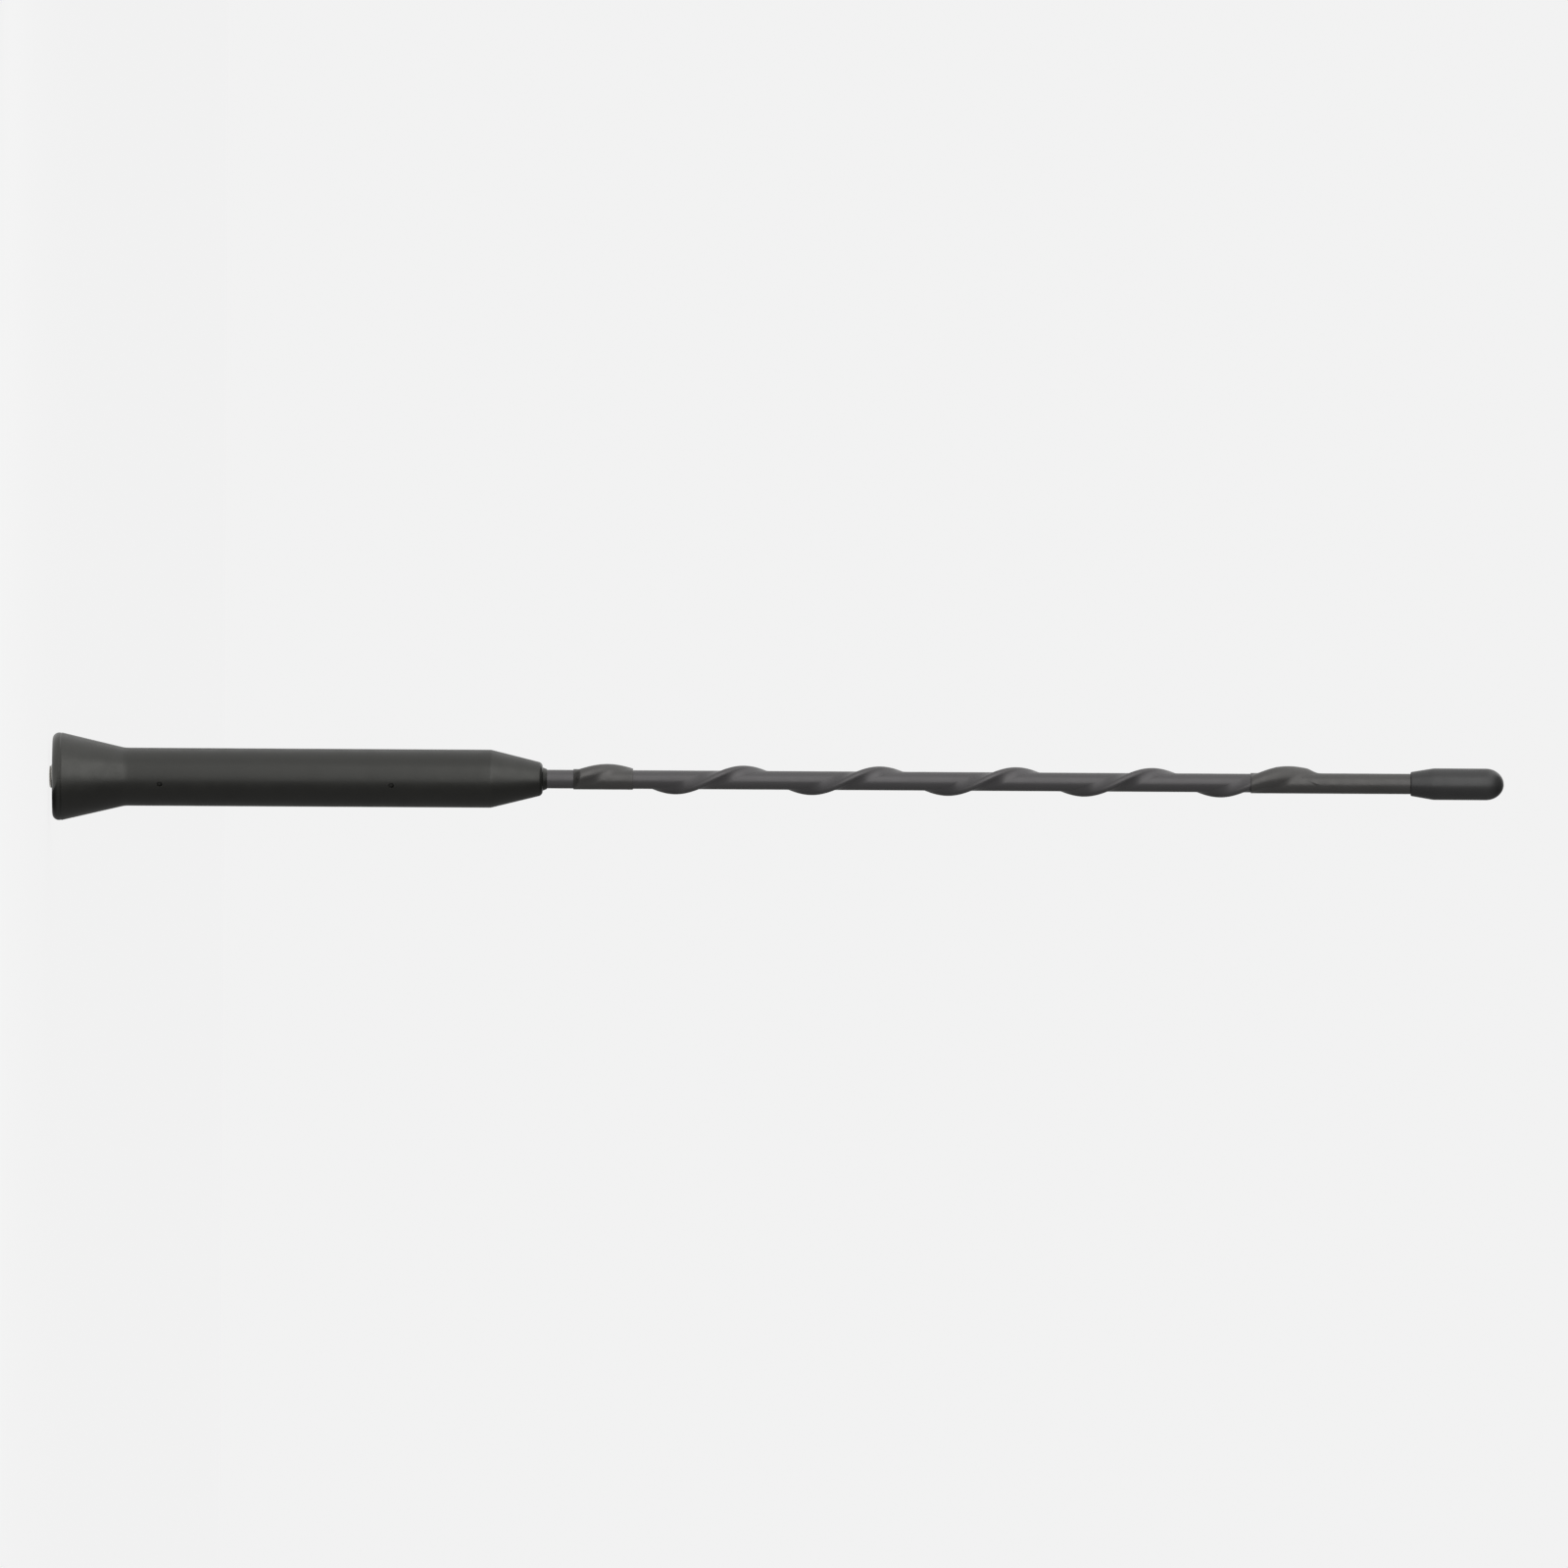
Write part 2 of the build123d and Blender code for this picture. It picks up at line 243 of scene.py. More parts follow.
gripShape = {
    "bandHeight": 1.5, "grooveWidth": 0.35, "grooveDepth": 0.08,  # fine line above the rim
    "rimRound": 1.3, "mouthChamfer": 0.3, "skirtWall": 2.1, "roofMargin": 0.6,
    "flareHeight": 14.0, "flareBlend": 6.0, "barrelRadius": 5.6, "barrelEnd": 84.6,
    "shoulderRound": 2.0, "noseEnd": 94.6, "noseRadius": 3.12, "noseRound": 1.0,
    "lipRadius": 2.25, "lipEdge": 0.12, "lineRound": 0.06,
    "chamberRadius": 3.58, "bond": 0.02,
    "keyWidth": 1.4, "keyDepth": 0.5, "insertKeys": 3, "ferruleKeys": 4,
    "markHeights": (20.75, 65.4), "markRadius": 0.4, "markDepth": 0.7, "markTurn": 15.0,
    "markEdge": (0.85, 1.25), "markReach": 0.75, "markStops": 31,  # the edge in shares of the radius
    "seamHeight": 0.035, "seamWidth": 0.11, "seamReach": 0.3, "seamStops": 9,  # where the mould halves met
    "seamFadeIn": (0.8, 2.6), "seamFadeOut": (2, 0.6),  # above the rim, and below the nose's end
    "columns": 120, "rowStep": 1.2, "innerSteps": 6,
}

gripLook = {
    "dark": (0.0130, 0.0130, 0.0115), "light": (0.0175, 0.0175, 0.0158),
    "driftPerMm": 0.12, "grainPerMm": 3.2, "patchPerMm": 0.35, "stretch": (1, 1, 1),
    "driftDepth": 0.02, "grainDepth": 0.010, "gloss": (0.31, 0.39),
    "specular": 0.75, "tint": (1, 1, 0.955),
}


def keyedWall(radius, bottom, top, count, shape):
    # wall of a room that a turned piece fills, from top to bottom, with a rib in each of its ring grooves
    step = (top - bottom) / (count + 1)
    half = shape["keyWidth"] / 2 - shape["bond"]
    edge = radius + shape["bond"]
    rib = edge - shape["keyDepth"]
    corners = []
    for k in range(count, 0, -1):
        upper, lower = bottom + step * k + half, bottom + step * k - half
        corners += [(edge, upper, 0), (rib, upper, 0), (rib, lower, 0), (edge, lower, 0)]
    return corners


def makeGrip(shape):
    # a closed outline turned about the axis: up the outside from the rim to the lip, and down the inner
    # rooms; round holes are pressed in where the core was held, and a fine ridge runs along each side
    _, top, rim = span("grip")
    _, _, rod = span("whip_rod")
    insertBottom, insertTop, insertRadius = span("threaded_insert")
    ferruleBottom, ferruleTop, ferruleRadius = span("rod_ferrule")
    bond = shape["bond"]
    coneStart = shape["bandHeight"] + shape["grooveWidth"]
    mouth = rim - shape["skirtWall"]
    line = shape["lineRound"]
    outside = softOutline([
        (mouth + shape["mouthChamfer"], 0, 0),
        (rim, 0, shape["rimRound"]),
        (rim, shape["bandHeight"], line),
        (rim - shape["grooveDepth"], shape["bandHeight"] + shape["grooveWidth"] / 2, line / 2),
        (rim, coneStart, line),
        (shape["barrelRadius"], shape["flareHeight"], shape["flareBlend"]),
        (shape["barrelRadius"], shape["barrelEnd"], shape["shoulderRound"]),
        (shape["noseRadius"], shape["noseEnd"], shape["noseRound"]),
        (shape["lipRadius"], shape["noseEnd"], line),
        (rod + bond + shape["lipEdge"], top, line),
        (rod + bond, top, 0),
    ], shape["rowStep"])
    inside = softOutline(
        [(rod + bond, top, 0), (rod + bond, ferruleTop + bond, 0)]
        + [(ferruleRadius + bond, ferruleTop + bond, 0)]
        + keyedWall(ferruleRadius, ferruleBottom, ferruleTop, shape["ferruleKeys"], shape)
        + [(ferruleRadius + bond, ferruleBottom, 0), (shape["chamberRadius"], ferruleBottom, 0)]
        + [(shape["chamberRadius"], insertTop + bond, 0), (insertRadius + bond, insertTop + bond, 0)]
        + keyedWall(insertRadius, insertBottom, insertTop, shape["insertKeys"], shape)
        + [(insertRadius + bond, insertBottom, 0), (insertRadius + shape["roofMargin"], insertBottom, 0)]
        + [(mouth, shape["mouthChamfer"], 0), (mouth + shape["mouthChamfer"], 0, 0)],
        shape["innerSteps"] * shape["rowStep"])[1:-1]
    nearMark = np.linspace(-shape["markReach"], shape["markReach"], shape["markStops"])
    extra = np.concatenate([height + nearMark for height in shape["markHeights"]])
    extra = np.stack([np.full_like(extra, shape["barrelRadius"]), extra], axis=-1)
    outside = np.concatenate([outside, extra])
    outside = outside[np.argsort(outside[:, 1], kind="stable")]
    outline = np.concatenate([outside, inside])
    front = np.radians(shape["markTurn"] - 90)
    markAngles = front + np.array([0, np.pi])
    seamAngles = front + np.array([np.pi / 2, -np.pi / 2])
    nearAngle = nearMark / shape["barrelRadius"]
    nearSeam = np.linspace(-shape["seamReach"], shape["seamReach"], shape["seamStops"])
    nearSeam = nearSeam / shape["barrelRadius"]
    angles = [np.linspace(0, fullTurn, shape["columns"], endpoint=False)]
    angles += [middle + nearAngle for middle in markAngles]
    angles += [middle + nearSeam for middle in seamAngles]
    angles = np.unique(np.round(np.concatenate(angles) % fullTurn, 6))
    radius = np.repeat(outline[:, :1], len(angles), axis=1)
    height = outline[:, 1:2]
    isOutside = np.arange(len(outline))[:, None] < len(outside)
    fadeOut = [shape["noseEnd"] - below for below in shape["seamFadeOut"]]
    along = smoothStep(*shape["seamFadeIn"], height) * (1 - smoothStep(*fadeOut, height))
    for middle in seamAngles:
        across = radius * turnFrom(angles, middle) / shape["seamWidth"]
        radius = radius + isOutside * along * shape["seamHeight"] * np.exp(-across ** 2)
    holeEdge = [share * shape["markRadius"] for share in shape["markEdge"]]
    for middle in markAngles:
        for markHeight in shape["markHeights"]:
            away = np.hypot(shape["barrelRadius"] * turnFrom(angles, middle), height - markHeight)
            hole = 1 - smoothStep(*holeEdge, away)
            radius = radius - isOutside * shape["markDepth"] * hole
    return joinRings("grip_skin", turned(radius, height, angles), wrapRows=True)


dress(makeGrip(gripShape), satinFinish("gripRubber", gripLook), "grip")
print("grip made")


# Fixing stud

studShape = {
    "pitch": 0.8, "threadDepth": 0.49, "threadFlank": (0.04, 0.40), "chamfer": 0.5, "crown": 0.14,
    "reliefRadius": 2.0, "reliefBottom": 7.2, "reliefTop": 8.4, "runOut": 0.15,
    "rowStep": 0.05, "columns": 72, "endShares": (0.15, 0.95), "endRows": 6,
}

studLook = {
    "dull": (0.30, 0.29, 0.27), "clean": (0.52, 0.51, 0.48), "tarnishPerMm": 0.8, "ringsPerMm": 4.0,
    "wander": 1.5, "gloss": (0.24, 0.42), "ringDepth": 0.002, "metal": 1.0,
}


def makeStud(shape):
    # thread: the radius falls from crest to root with the distance from the crest, whose height climbs one
    # pitch a turn; end chamfers and the plain groove cap the radius, and each end is a low crown, a parabola
    bottom, top, radius = span("fixing_stud")
    height = np.arange(bottom, top + shape["rowStep"] / 2, shape["rowStep"])[:, None]
    angles = np.linspace(0, fullTurn, shape["columns"], endpoint=False)
    turn = (height / shape["pitch"] - angles / fullTurn) % 1
    fromCrest = np.abs(turn - 0.5)
    thread = radius - shape["threadDepth"] * smoothStep(*shape["threadFlank"], fromCrest)
    fromEnd = np.minimum(height - bottom, top - height)
    thread = np.minimum(thread, radius - shape["chamfer"] + fromEnd)
    runOut = shape["runOut"]
    inGroove = smoothStep(shape["reliefBottom"] - runOut, shape["reliefBottom"], height)
    inGroove = inGroove * (1 - smoothStep(shape["reliefTop"], shape["reliefTop"] + runOut, height))
    thread = thread + (np.minimum(thread, shape["reliefRadius"]) - thread) * inGroove
    share = np.linspace(*shape["endShares"], shape["endRows"])[:, None]
    endRadius = (radius - shape["chamfer"]) * share
    crown = shape["crown"] * (1 - share ** 2)
    rings = np.concatenate([
        turned(endRadius + 0 * angles, bottom - crown, angles),
        turned(thread, height, angles),
        turned(endRadius[::-1] + 0 * angles, top + crown[::-1], angles),
    ])
    firstPole, lastPole = (0, 0, bottom - shape["crown"]), (0, 0, top + shape["crown"])
    return joinRings("stud_thread", rings, firstPole=firstPole, lastPole=lastPole)


dress(makeStud(studShape), metalFinish("studZinc", studLook), "fixing_stud")
print("stud made")


# Whip rod

rodShape = {"edge": 0.25, "rowStep": 1.0, "columns": 72, "ripple": 0.006, "rippleWaves": (0.9, 0.37)}

rodLook = {
    "dark": (0.070, 0.068, 0.070), "light": (0.088, 0.086, 0.088),
    "driftPerMm": 0.3, "grainPerMm": 4.0, "patchPerMm": 0.3, "stretch": (1, 1, 0.12),
    "driftDepth": 0.008, "grainDepth": 0.006, "gloss": (0.33, 0.41),
    "specular": 0.95, "tint": (1, 0.97, 0.98),
}


def makeRod(shape):
    # a straight outline turned about the axis, with edges broken at both ends and a slow ripple in the coat
    bottom, top, radius = span("whip_rod")
    edge = shape["edge"]
    outline = softOutline([
        (radius - edge, bottom, 0), (radius, bottom + edge, 0),
        (radius, top - edge, 0), (radius - edge, top, 0),
    ], shape["rowStep"])
    angles = np.linspace(0, fullTurn, shape["columns"], endpoint=False)
    height = outline[:, 1:2]
    quick, slow = shape["rippleWaves"]
    ripple = shape["ripple"] * np.sin(quick * height + 2 * angles) * np.sin(slow * height - angles)
    rings = turned(outline[:, :1] - np.abs(ripple), height, angles)
    return joinRings("rod_skin", rings, firstPole=(0, 0, bottom), lastPole=(0, 0, top))


dress(makeRod(rodShape), satinFinish("rodCoat", rodLook), "whip_rod")
print("rod made")


# Spiral strand

strandShape = {
    "lead": 1.8, "pitch": 26.27, "turns": 5.3, "frontAngle": -90.0,
    "height": 1.01, "crownRound": 0.9, "footEdge": 0.012, "sunk": 0.05,
    "rowStep": 0.35, "columns": 48, "underColumns": 16,
}

strandLook = {
    "dark": (0.070, 0.068, 0.070), "light": (0.088, 0.086, 0.088),
    "driftPerMm": 0.4, "grainPerMm": 4.0, "patchPerMm": 0.4, "stretch": (1, 1, 0.5),
    "driftDepth": 0.008, "grainDepth": 0.006, "gloss": (0.33, 0.41),
    "specular": 0.95, "tint": (1, 0.97, 0.98),
}


def strandAngle(height):
    # the strand's line crosses the front at the lower sleeve's edge and turns left-handed as it climbs
    edge = span("lower_sleeve")[0]
    return np.radians(strandShape["frontAngle"]) - fullTurn * (height - edge) / strandShape["pitch"]


def hullRadius(turn, ring, centre, rounding):
    # a band pulled tight round a ring and over a round set off the axis, in polar form: the round where the
    # turn is small, then the flat flank that touches both, then the ring
    leave = np.arccos((ring - rounding) / centre)
    touch = np.arctan2(rounding * np.sin(leave), centre + rounding * np.cos(leave))
    onRound = centre * np.cos(turn) + np.sqrt(np.clip(rounding ** 2 - (centre * np.sin(turn)) ** 2, 0, None))
    onFlank = ring / np.cos(np.clip(leave - turn, 0, None))
    return np.where(turn < touch, onRound, onFlank)


def makeStrand(shape):
    # a rib on the rod that turns as it climbs: at each height the hull's crown and flanks on the outside,
    # from foot to foot, and an arc back just under the rod's surface
    rod = span("whip_rod")[2]
    length = shape["turns"] * shape["pitch"]
    start = span("lower_sleeve")[0] + shape["lead"]
    height = start + np.linspace(0, length, int(length / shape["rowStep"]))[:, None]
    ring = rod + shape["footEdge"]
    centre = rod + shape["height"] - shape["crownRound"]
    leave = np.arccos((ring - shape["crownRound"]) / centre)
    outside = leave * np.linspace(-1, 1, shape["columns"])
    under = leave * np.linspace(1, -1, shape["underColumns"])
    turn = np.concatenate([outside, under])
    rib = hullRadius(np.abs(outside), ring, centre, shape["crownRound"])
    radius = np.concatenate([rib, np.full_like(under, rod - shape["sunk"])])
    rings = turned(radius, height, strandAngle(height) + turn)
    firstPole, lastPole = rings[0].mean(axis=0), rings[-1].mean(axis=0)
    return joinRings("strand_skin", rings, firstPole=firstPole, lastPole=lastPole, sharpDegrees=60)


dress(makeStrand(strandShape), satinFinish("strandPlastic", strandLook), "spiral_strand")
print("strand made")


# Shrink sleeves

sleeveShape = {
    "wall": 0.14, "gap": 0.02, "columns": 150, "rowStep": 0.18, "edgeRows": 5,
    "wrinkle": 0.010, "wrinkleWaves": ((3, 0.8), (5, -2.1), (0, 0.6)),  # round the sleeve, and along it
    "crest": (2.98, 3.31), "rounding": (1.6, 2.1), "slackRun": 5.0,  # snug, and slack in the upper sleeve
    "riseFrom": 100.5, "riseTo": 101.9, "fallFrom": 241.93, "fallTo": 244.93, "leastLift": 0.0001,
    "crease": ((241.4, 31.0), (243.9, -2.0)),  # height and degrees up the front, at both ends of the fold
    "creaseWidth": 0.20, "creaseHeight": 0.07,
}

sleeveLook = {
    "dark": (0.056, 0.055, 0.053), "light": (0.071, 0.069, 0.067),
    "driftPerMm": 0.5, "grainPerMm": 4.0, "patchPerMm": 0.5, "stretch": (1, 1, 0.3),
    "driftDepth": 0.010, "grainDepth": 0.006, "gloss": (0.32, 0.42),
    "specular": 0.95, "tint": (1, 0.98, 0.955),
}


def tentRadius(height, angles, ring, shape):
    # hull over the strand: its round shrinks into the ring where the lift falls to nothing, and grows slack
    # with height in the upper sleeve
    lift = smoothStep(shape["riseFrom"], shape["riseTo"], height)
    lift = lift * (1 - smoothStep(shape["fallFrom"], shape["fallTo"], height))
    lift = np.maximum(lift, shape["leastLift"])
    slackness = np.clip((height - span("upper_sleeve")[0]) / shape["slackRun"], 0, 1)
    crest = shape["crest"][0] + slackness * (shape["crest"][1] - shape["crest"][0])
    full = shape["rounding"][0] + slackness * (shape["rounding"][1] - shape["rounding"][0])
    turn = np.abs(turnFrom(angles, strandAngle(height)))
    return hullRadius(turn, ring, lift * (crest - full), ring + lift * (full - ring))


def creaseRise(height, angles, ring, shape):
    # a fold along a straight line on the unrolled sleeve: a bell of the distance from that line
    (lowHeight, lowTurn), (highHeight, highTurn) = shape["crease"]
    across = ring * turnFrom(angles, np.radians(strandShape["frontAngle"] - lowTurn))
    run = np.array([ring * np.radians(lowTurn - highTurn), highHeight - lowHeight])
    share = np.clip((across * run[0] + (height - lowHeight) * run[1]) / (run @ run), 0, 1)
    away = np.hypot(across - share * run[0], height - lowHeight - share * run[1])
    return shape["creaseHeight"] * np.exp(-(away / shape["creaseWidth"]) ** 2)


def makeSleeve(node, shape):
    # a thin wall on the tent: rows go up the outside, round the cut edge and down the inside, each row a
    # height and a depth below the outside, with faint wrinkles along it, each the product of three sines
    bottom, top, _ = span(node)
    _, _, rod = span("whip_rod")
    wall = shape["wall"]
    ring = rod + shape["gap"] + wall
    edge = wall / 2
    bend = np.linspace(0, np.pi, shape["edgeRows"])[1:-1]
    bulge = edge * np.sin(bend)
    climb = np.linspace(bottom + edge, top - edge, int((top - bottom) / shape["rowStep"]))
    height = np.concatenate([climb, top - edge + bulge, climb[::-1], bottom + edge - bulge])
    turnIn = edge * (1 - np.cos(bend))
    depth = np.concatenate([0 * climb, turnIn, 0 * climb + wall, wall - turnIn])
    height, depth = height[:, None], depth[:, None]
    angles = np.linspace(0, fullTurn, shape["columns"], endpoint=False)
    wrinkle = 1
    for around, along in shape["wrinkleWaves"]:
        wrinkle = wrinkle * np.sin(around * angles + along * height)
    radius = tentRadius(height, angles, ring, shape) + shape["wrinkle"] * np.abs(wrinkle)
    radius = radius + creaseRise(height, angles, ring, shape) - depth
    return joinRings(node + "_skin", turned(radius, height, angles), wrapRows=True, sharpDegrees=50)


sleevePlastic = satinFinish("sleevePlastic", sleeveLook)
for node in ("lower_sleeve", "upper_sleeve"):
    dress(makeSleeve(node, sleeveShape), sleevePlastic, node)
print("sleeves made")


# Tip cap

capShape = {
    "lipRadius": 2.31, "lipRound": 0.27, "boreRound": 0.04, "taper": 4.4, "taperRound": 5.0, "dome": 3.5,
    "sleeveTuck": 2.2, "sleeveBore": 1.98, "boreDepth": 13.0, "boreEndRing": 0.5, "bond": 0.02,
    "rowStep": 0.4, "columns": 96, "domeRows": 20,
}

capLook = {
    "dark": (0.034, 0.034, 0.034), "light": (0.042, 0.042, 0.042),
    "driftPerMm": 0.25, "grainPerMm": 4.5, "patchPerMm": 0.4, "stretch": (1, 1, 1),
    "driftDepth": 0.008, "grainDepth": 0.006, "gloss": (0.32, 0.40),
    "specular": 0.75, "tint": (1, 1, 1),
}


def makeCap(shape):
    # outline turned about the axis: down the bore, round the lip, up the taper and the side, then a
    # quarter ellipse over the end
    bottom, top, radius = span("tip_cap")
    _, _, rod = span("whip_rod")
    bore = rod + shape["bond"]
    boreEnd = bottom + shape["boreDepth"]
    tuckTop = bottom + shape["sleeveTuck"]
    side = softOutline([
        (bore * shape["boreEndRing"], boreEnd, 0),
        (bore, boreEnd, 0),
        (bore, tuckTop, 0),
        (shape["sleeveBore"], tuckTop, 0),
        (shape["sleeveBore"], bottom, shape["boreRound"]),
        (shape["lipRadius"], bottom, shape["lipRound"]),
        (radius, bottom + shape["taper"], shape["taperRound"]),
        (radius, top - shape["dome"], 0),
    ], shape["rowStep"])
    bend = np.linspace(0, np.pi / 2, shape["domeRows"])[1:-1]
    dome = np.stack([radius * np.cos(bend), top - shape["dome"] * (1 - np.sin(bend))], axis=-1)
    outline = np.concatenate([side, dome])
    angles = np.linspace(0, fullTurn, shape["columns"], endpoint=False)
    rings = turned(outline[:, :1] + 0 * angles, outline[:, 1:2], angles)
    return joinRings("cap_skin", rings, firstPole=(0, 0, boreEnd), lastPole=(0, 0, top))


dress(makeCap(capShape), satinFinish("capPlastic", capLook), "tip_cap")
print("cap made")


# Inner pieces keep their solids and get their own finishes

innerLooks = {
    "threaded_insert": {
        "dull": (0.42, 0.29, 0.11), "clean": (0.74, 0.56, 0.27), "tarnishPerMm": 0.5, "ringsPerMm": 3.0,
        "wander": 0.6, "gloss": (0.22, 0.38), "ringDepth": 0.004, "metal": 1.0},
    "rod_ferrule": {
        "dull": (0.44, 0.31, 0.12), "clean": (0.76, 0.58, 0.28), "tarnishPerMm": 0.4, "ringsPerMm": 3.0,
        "wander": 0.6, "gloss": (0.22, 0.36), "ringDepth": 0.004, "metal": 1.0},
    "loading_coil": {
        "dull": (0.34, 0.11, 0.045), "clean": (0.72, 0.33, 0.17), "tarnishPerMm": 0.7, "ringsPerMm": 1.5,
        "wander": 2.0, "gloss": (0.16, 0.28), "ringDepth": 0.001, "metal": 1.0},
    "coil_former": {
        "dull": (0.66, 0.63, 0.54), "clean": (0.84, 0.82, 0.74), "tarnishPerMm": 0.3, "ringsPerMm": 1.0,
        "wander": 1.0, "gloss": (0.38, 0.52), "ringDepth": 0.003, "metal": 0.0},
}

for node, look in innerLooks.items():
    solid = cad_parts[node].data
    solid.materials.clear()
    solid.materials.append(metalFinish(node + "_finish", look))
print("inner pieces finished")


# Floor, light and camera

floorLook = {
    "radius": 2200.0, "nearRadius": 25.0, "nearAt": -21.0, "rings": 24, "columns": 96,
    "pale": 0.12, "glow": 0.837, "under": 0.15,
}


def makeFloor(look):
    # a flat disc under the stud in rings that shrink by even steps: a wide ring, whose centre moves over to
    # the lit side, and there a small disc around a pole, which alone throws its light up at the rim
    bottom = span("fixing_stud")[0] - look["under"]
    angles = np.linspace(0, fullTurn, look["columns"], endpoint=False)
    wide = np.linspace(look["radius"], look["nearRadius"], look["rings"])[:, None]
    near = np.linspace(look["nearRadius"], 0, look["rings"], endpoint=False)[:, None]
    farRings = turned(wide + 0 * angles, bottom, angles)
    farRings[..., 0] += look["nearAt"] * np.linspace(0, 1, look["rings"])[:, None]
    nearRings = turned(near + 0 * angles, bottom, angles)
    nearRings[..., 0] += look["nearAt"]
    farFloor = joinRings("floor_far", farRings)
    nearFloor = joinRings("floor_near", nearRings, lastPole=(look["nearAt"], 0, bottom))
    farFloor.visible_glossy = False
    farFloor.visible_diffuse = False
    paper = floorPaper(look)
    for floor in (farFloor, nearFloor):
        floor.data.materials.append(paper)


def floorPaper(look):
    # pale paper with a little light of its own, seen only from above
    paper = bpy.data.materials.new("floorPaper")
    paper.use_nodes = True
    nodes, link = paper.node_tree.nodes, paper.node_tree.links.new
    shader = nodes["Principled BSDF"]
    shader.inputs["Base Color"].default_value = (look["pale"], look["pale"], look["pale"], 1)
    shader.inputs["Roughness"].default_value = 1.0
    shader.inputs["Specular IOR Level"].default_value = 0.0
    shader.inputs["Emission Color"].default_value = (1, 1, 1, 1)
    shader.inputs["Emission Strength"].default_value = look["glow"]
    clear = nodes.new("ShaderNodeBsdfTransparent")
    back = nodes.new("ShaderNodeNewGeometry")
    mix = nodes.new("ShaderNodeMixShader")
    link(back.outputs["Backfacing"], mix.inputs["Fac"])
    link(shader.outputs["BSDF"], mix.inputs[1])
    link(clear.outputs["BSDF"], mix.inputs[2])
    link(mix.outputs["Shader"], nodes["Material Output"].inputs["Surface"])
    return paper


studioLook = {
    "backdrop": 0.887, "gain": 1.38,
    "wide": {
        "X": ((0, 0.95), (0.2, 0.97), (0.38, 0.92), (0.52, 0.85), (0.62, 0.42), (0.72, 0.26), (1, 0.26)),
        "Z": ((0, 0.09), (0.14, 0.16), (0.3, 0.56), (0.5, 0.63), (0.64, 0.64),
              (0.76, 0.54), (0.86, 0.22), (1, 0.10)),
    },
    "side": {
        "X": ((0, 0.6), (0.3, 0.85), (0.44, 0.9), (0.5, 0.6), (0.57, 0.1), (0.64, 0), (1, 0)),
        "Z": ((0, 0), (0.58, 0), (0.66, 0.3), (0.73, 0.5), (0.78, 0.36), (0.83, 0.05), (1, 0)),
    },
    "boxAt": (-170, -450, 216), "boxAim": (0, 0, 180), "boxTall": 600, "boxWide": 300, "boxWatts": 0.37,
}


def makeDome(look):
    # light from all round: a wide patch over the front and a patch off towards the tip, each the product of a
    # curve along X and a curve along Z from -1 to 1; the camera sees a plain backdrop
    world = bpy.data.worlds.new("studio")
    bpy.context.scene.world = world
    world.use_nodes = True
    nodes, link = world.node_tree.nodes, world.node_tree.links.new
    nodes.clear()
    axis = nodes.new("ShaderNodeSeparateXYZ")
    link(nodes.new("ShaderNodeTexCoord").outputs["Generated"], axis.inputs["Vector"])
    both = nodes.new("ShaderNodeMath")
    both.operation = "ADD"
    for patchSlot, patch in enumerate(("wide", "side")):
        product = nodes.new("ShaderNodeMath")
        product.operation = "MULTIPLY"
        link(product.outputs["Value"], both.inputs[patchSlot])
        for curveSlot, (way, stops) in enumerate(look[patch].items()):
            share = nodes.new("ShaderNodeMapRange")
            share.inputs["From Min"].default_value = -1
            link(axis.outputs[way], share.inputs["Value"])
            level = nodes.new("ShaderNodeFloatCurve")
            curve = level.mapping.curves[0]
            for place, height in stops[1:-1]:
                curve.points.new(place, height)
            curve.points[0].location = stops[0]
            curve.points[-1].location = stops[-1]
            level.mapping.update()
            link(share.outputs["Result"], level.inputs["Value"])
            link(level.outputs["Value"], product.inputs[curveSlot])
    light = nodes.new("ShaderNodeBackground")
    link(both.outputs["Value"], light.inputs["Color"])
    light.inputs["Strength"].default_value = look["gain"]
    backdrop = nodes.new("ShaderNodeBackground")
    backdrop.inputs["Color"].default_value = (1, 1, 1, 1)
    backdrop.inputs["Strength"].default_value = look["backdrop"]
    mix = nodes.new("ShaderNodeMixShader")
    link(nodes.new("ShaderNodeLightPath").outputs["Is Camera Ray"], mix.inputs["Fac"])
    link(light.outputs["Background"], mix.inputs[1])
    link(backdrop.outputs["Background"], mix.inputs[2])
    link(mix.outputs["Shader"], nodes.new("ShaderNodeOutputWorld").inputs["Surface"])


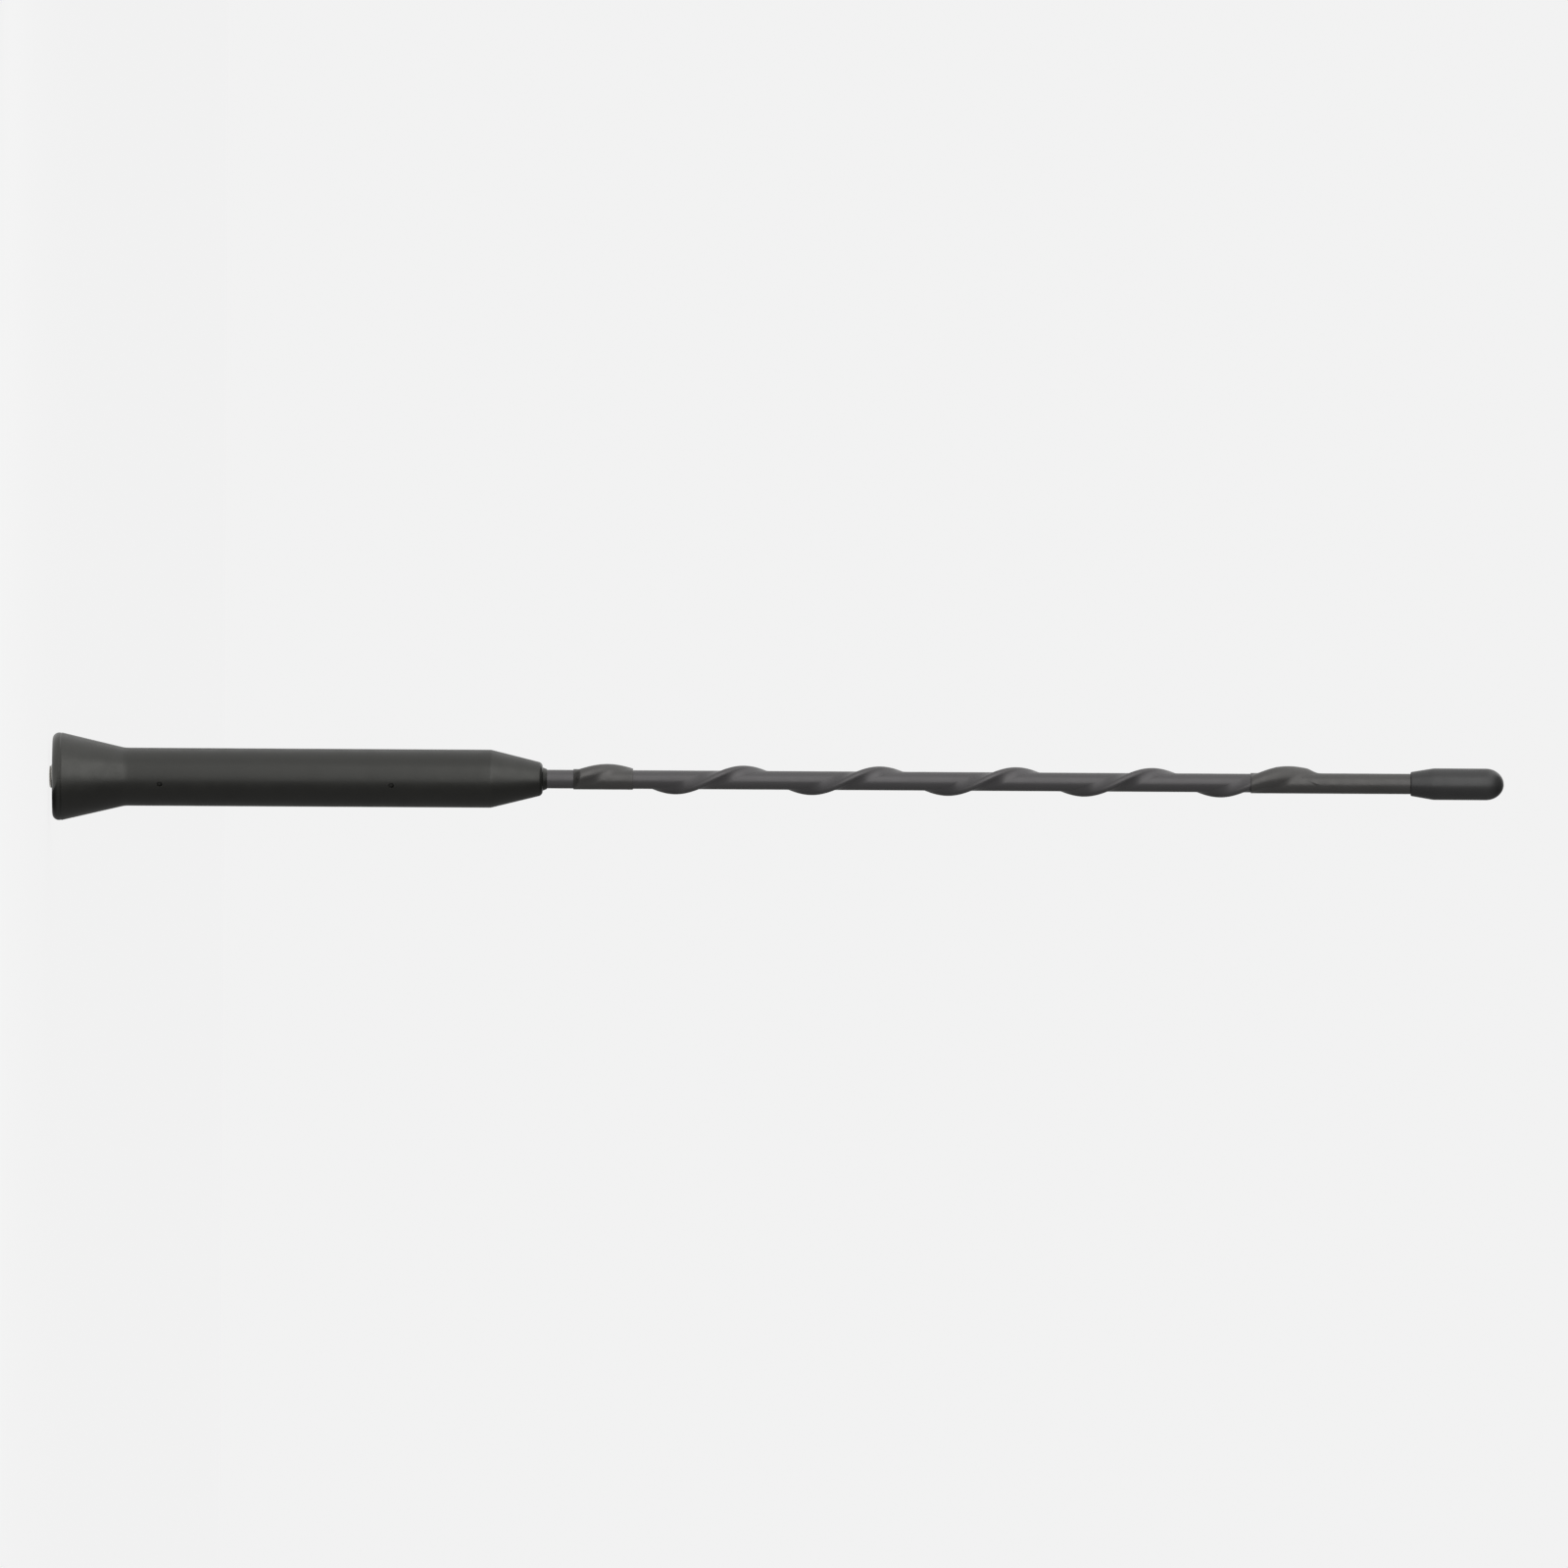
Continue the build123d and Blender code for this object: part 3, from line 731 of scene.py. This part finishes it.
def makeSoftBox(look):
    # one rectangle of light above the camera's line, off towards the tip: it faces its aim, tall side along X
    data = bpy.data.lights.new("softBox", "AREA")
    data.shape = "RECTANGLE"
    data.size = look["boxTall"] * mm
    data.size_y = look["boxWide"] * mm
    data.energy = look["boxWatts"]
    box = bpy.data.objects.new("softBox", data)
    bpy.context.scene.collection.objects.link(box)
    at, aim = Vector(look["boxAt"]), Vector(look["boxAim"])
    back = (at - aim).normalized()
    tall = (Vector((1, 0, 0)) - back * back.x).normalized()
    turn = Matrix((tall, back.cross(tall), back)).transposed()
    box.matrix_world = Matrix.LocRotScale(at * mm, turn, None)
    box.visible_camera = False


shot = {
    "imageSide": 1600, "rimAt": 53.5, "tipAt": 1534.5,  # pixels of the rim and the tip along the frame
    "axisAt": 796.4, "tiltDegrees": 0.33,  # the axis at mid frame, and its fall to the right
    "distance": 7000.0, "sensor": 36.0, "clipStart": 0.1, "clipEnd": 100,  # both clips in metres
}


def makeCamera(look):
    # a long lens at the front, level with the middle of the frame, turned so that the tip points right
    _, top, _ = span("tip_cap")
    perPixel = top / (look["tipAt"] - look["rimAt"])
    middle = (look["imageSide"] / 2 - look["rimAt"]) * perPixel
    sideways = (look["imageSide"] / 2 - look["axisAt"]) * perPixel
    data = bpy.data.cameras.new("camera")
    data.sensor_width = look["sensor"]
    data.lens = look["sensor"] * look["distance"] / (look["imageSide"] * perPixel)
    data.clip_start = look["clipStart"]
    data.clip_end = look["clipEnd"]
    camera = bpy.data.objects.new("camera", data)
    bpy.context.scene.collection.objects.link(camera)
    facing = Matrix(((0, -1, 0), (0, 0, -1), (1, 0, 0)))  # columns: right is +Z, up is -X, back is -Y
    roll = Matrix.Rotation(np.radians(look["tiltDegrees"]), 3, "Z")
    at = (sideways * mm, -look["distance"] * mm, middle * mm)
    camera.matrix_world = Matrix.LocRotScale(at, facing @ roll, None)
    bpy.context.scene.camera = camera


makeFloor(floorLook)
makeDome(studioLook)
makeSoftBox(studioLook)
makeCamera(shot)
bpy.context.scene.view_settings.view_transform = "Standard"
print("floor, light and camera made")
